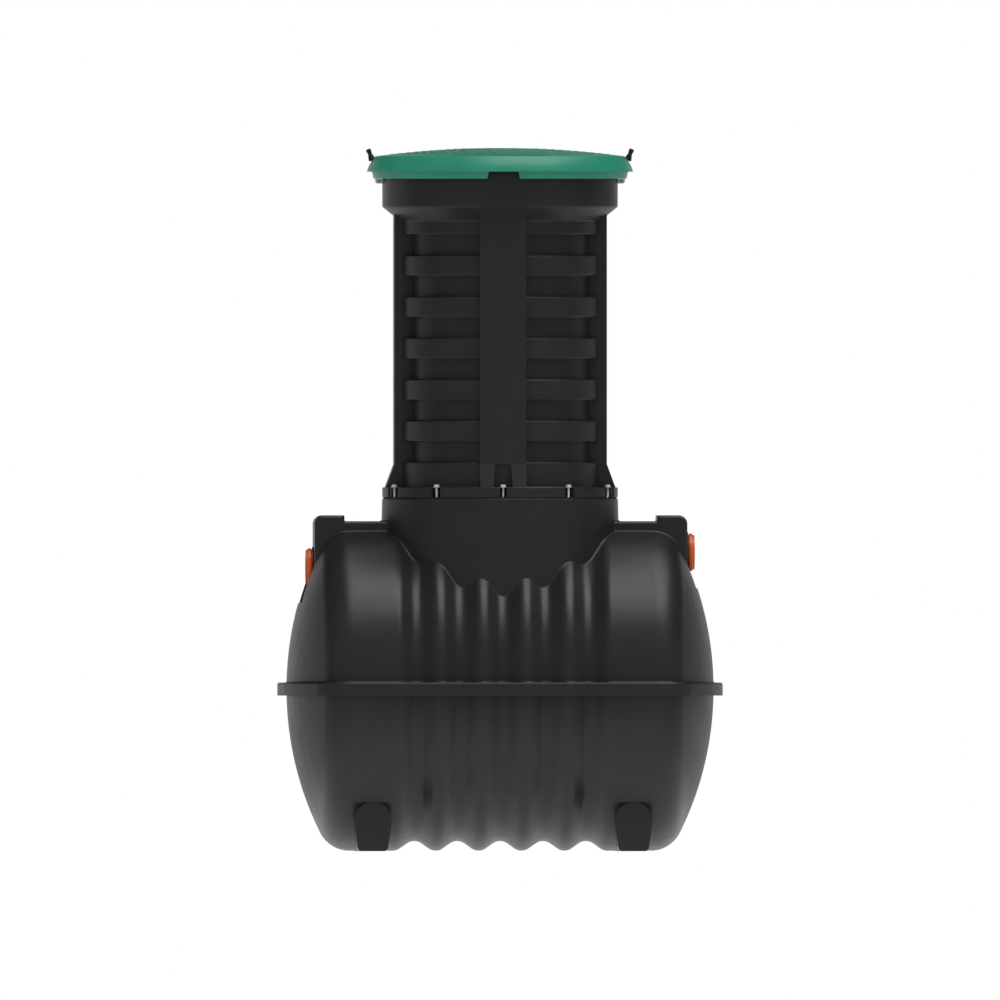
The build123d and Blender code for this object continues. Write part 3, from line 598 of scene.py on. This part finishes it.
def make_lid_studs(green):
    """Rings of low studs on the lid that keep a foot from slipping."""
    stud, stud_faces = stud_shape()
    parts = []
    radius = STUD_FIRST_RING
    ring = 0
    while radius < STUD_LAST_RING:
        count = int(2 * math.pi * radius / STUD_SPACING)
        lean = math.asin(radius / DOME_RADIUS)
        for index in range(count):
            turn = 2 * math.pi * (index + 0.5 * (ring % 2)) / count
            place = Matrix.Rotation(turn, 4, "Z") @ Matrix.Translation((radius, 0, dome_height(radius)))
            place = place @ Matrix.Rotation(lean, 4, "Y")
            parts.append((shifted(stud, place), stud_faces))
        radius += STUD_RING_STEP
        ring += 1
    vertices, faces = joined(parts)
    mesh = mesh_from("lid_studs", vertices, faces, STUD_ANGLE)
    new_object("lid_studs", mesh, green, "lid")


# Studio: the room in front, the white wall behind, the soft box overhead and the light that
# comes from all sides. Edges are shares of a direction's Y or Z, or slopes off the vertical.
ROOM_LIGHT = 0.2
ROOM_EDGE = (-0.3, -0.02)
SIDE_WALL = 0.31
SIDE_WALL_LEAN = -0.4
SIDE_WALL_EDGE = (-0.1, 0.55)
WALL_EDGE = (0.78, 1.0)
WALL_SHARE = 0.3
WALL_TOP = (0.1, 0.35)
SOFT_BOX_LIGHT = 4.6
SOFT_BOX_ACROSS = (-0.3, 0.0, 0.62, 0.92)
SOFT_BOX_FORWARD = (-0.8, 0.35, 0.4, 0.9)
SOFT_BOX_HORIZON = (0.0, 0.2)
LOWEST_SLOPE = 0.001
FILL_LIGHT = 0.6
WHITE = (1.0, 1.0, 1.0, 1.0)


class Studio(Nodes):
    """The world's tree with short calls for its soft edges and its lights."""

    def __init__(self):
        world = bpy.data.worlds.new("studio")
        bpy.context.scene.world = world
        world.use_nodes = True
        super().__init__(world.node_tree)
        self.tree.nodes.clear()
        self.x, self.y, self.z = self.split(self.new("TexCoord").outputs["Generated"])

    def fall(self, value, low, high):
        """1 below one value and 0 above the other, with a soft step between."""
        return self.sum("SUBTRACT", 1.0, self.rise(value, low, high))

    def hump(self, value, foot, low, high, end):
        """A soft rise from one value to the next, 1 up to the third and a soft fall to the last."""
        return self.sum("MULTIPLY", self.rise(value, foot, low), self.fall(value, high, end))

    def soft_box(self):
        """1 towards the soft box, which lies flat overhead."""
        height = self.sum("MAXIMUM", self.z, LOWEST_SLOPE)
        across = self.sum("DIVIDE", self.x, height)
        forward = self.sum("MULTIPLY", self.sum("DIVIDE", self.y, height), -1.0)
        box = self.sum("MULTIPLY", self.hump(across, *SOFT_BOX_ACROSS), self.hump(forward, *SOFT_BOX_FORWARD))
        return self.sum("MULTIPLY", box, self.rise(self.z, *SOFT_BOX_HORIZON))

    def background(self, strength):
        """White light of a strength, a number or a socket."""
        node = self.new("Background")
        node.inputs["Color"].default_value = WHITE
        if isinstance(strength, float):
            node.inputs["Strength"].default_value = strength
        else:
            self.link(strength, node.inputs["Strength"])
        return node.outputs[0]


def make_world():
    """A dim room with a soft box overhead lights the object, and white lies behind it."""
    studio = Studio()
    rays = studio.rays()
    room = studio.sum("MULTIPLY", studio.fall(studio.y, *ROOM_EDGE), ROOM_LIGHT)
    box = studio.sum("MULTIPLY", studio.soft_box(), SOFT_BOX_LIGHT)
    fill = studio.sum("MULTIPLY", rays["Is Diffuse Ray"], FILL_LIGHT)
    light = studio.sum("ADD", studio.sum("ADD", room, box), fill)
    sides = studio.sum("MULTIPLY", studio.rise(studio.y, *SIDE_WALL_EDGE), SIDE_WALL)
    lean = studio.sum("ADD", studio.sum("MULTIPLY", studio.x, SIDE_WALL_LEAN), 1.0)
    sides = studio.sum("MULTIPLY", sides, lean)
    behind = studio.sum("MULTIPLY", studio.rise(studio.y, *WALL_EDGE), WALL_SHARE)
    wall = studio.sum("MULTIPLY", studio.sum("ADD", sides, behind), studio.fall(studio.z, *WALL_TOP))
    mirrored = studio.sum("MULTIPLY", rays["Is Glossy Ray"], wall)
    seen = studio.sum("MAXIMUM", rays["Is Camera Ray"], rays["Is Transmission Ray"])
    seen = studio.sum("MAXIMUM", seen, mirrored)
    mix = studio.new("MixShader")
    studio.link(seen, mix.inputs["Fac"])
    studio.link(studio.background(light), mix.inputs[1])
    studio.link(studio.background(1.0), mix.inputs[2])
    studio.link(mix.outputs[0], studio.new("OutputWorld").inputs["Surface"])


# Floor: a light table, partly lit from below
FLOOR_SIZE = 30.0
FLOOR_GLOW = 0.86
FLOOR_COLOUR = (0.17, 0.17, 0.17, 1.0)
FLOOR_ROUGHNESS = 0.9
FLOOR_SPECULAR = 0.1
FLOOR_DIMMING = 0.55
FLOOR_DIM_FROM = 0.7
FLOOR_DIM_TO = 2.2


def make_floor():
    """A pale light table that keeps the object's shadow, and is dimmer in reflections far out."""
    half = FLOOR_SIZE / 2
    corners = [(-half, -half, 0), (half, -half, 0), (half, half, 0), (-half, half, 0)]
    mesh = mesh_from("floor", corners, [(0, 1, 2, 3)])
    floor = linked("floor", mesh)
    shader = Shader("light_table")
    surface = shader.surface
    surface.inputs["Base Color"].default_value = FLOOR_COLOUR
    surface.inputs["Roughness"].default_value = FLOOR_ROUGHNESS
    surface.inputs["Specular IOR Level"].default_value = FLOOR_SPECULAR
    surface.inputs["Emission Color"].default_value = WHITE
    distance = shader.new("VectorMath")
    distance.operation = "LENGTH"
    shader.link(shader.place, distance.inputs[0])
    far = shader.rise(distance.outputs["Value"], FLOOR_DIM_FROM, FLOOR_DIM_TO, FLOOR_DIMMING)
    dimming = shader.sum("MULTIPLY", shader.rays()["Is Glossy Ray"], far)
    shader.link(shader.sum("SUBTRACT", FLOOR_GLOW, dimming), surface.inputs["Emission Strength"])
    mesh.materials.append(shader.material)


def make_camera():
    """The level view of the photograph, from the front and a little to the left."""
    data = bpy.data.cameras.new("camera")
    data.type = "ORTHO"
    data.ortho_scale = CAMERA_SPAN
    data.clip_end = CAMERA_CLIP_END
    camera = linked("camera", data)
    turn = math.radians(CAMERA_AZIMUTH)
    away = Vector((math.sin(turn), -math.cos(turn), 0.0))
    camera.location = away * CAMERA_DISTANCE + Vector((0, 0, CAMERA_TARGET_HEIGHT))
    camera.rotation_euler = (math.pi / 2, 0.0, turn)
    bpy.context.scene.camera = camera


def main():
    """Dress the part and set the studio."""
    bpy.context.scene.view_settings.view_transform = "Standard"
    make_camera()
    materials = make_materials()
    dress_nodes(materials)
    make_bolts(materials["steel"])
    make_slotted_base(materials["tank_plastic"])
    make_clip_pins(materials["screw_plastic"])
    make_lid_studs(materials["lid_plastic"])
    make_world()
    make_floor()


main()
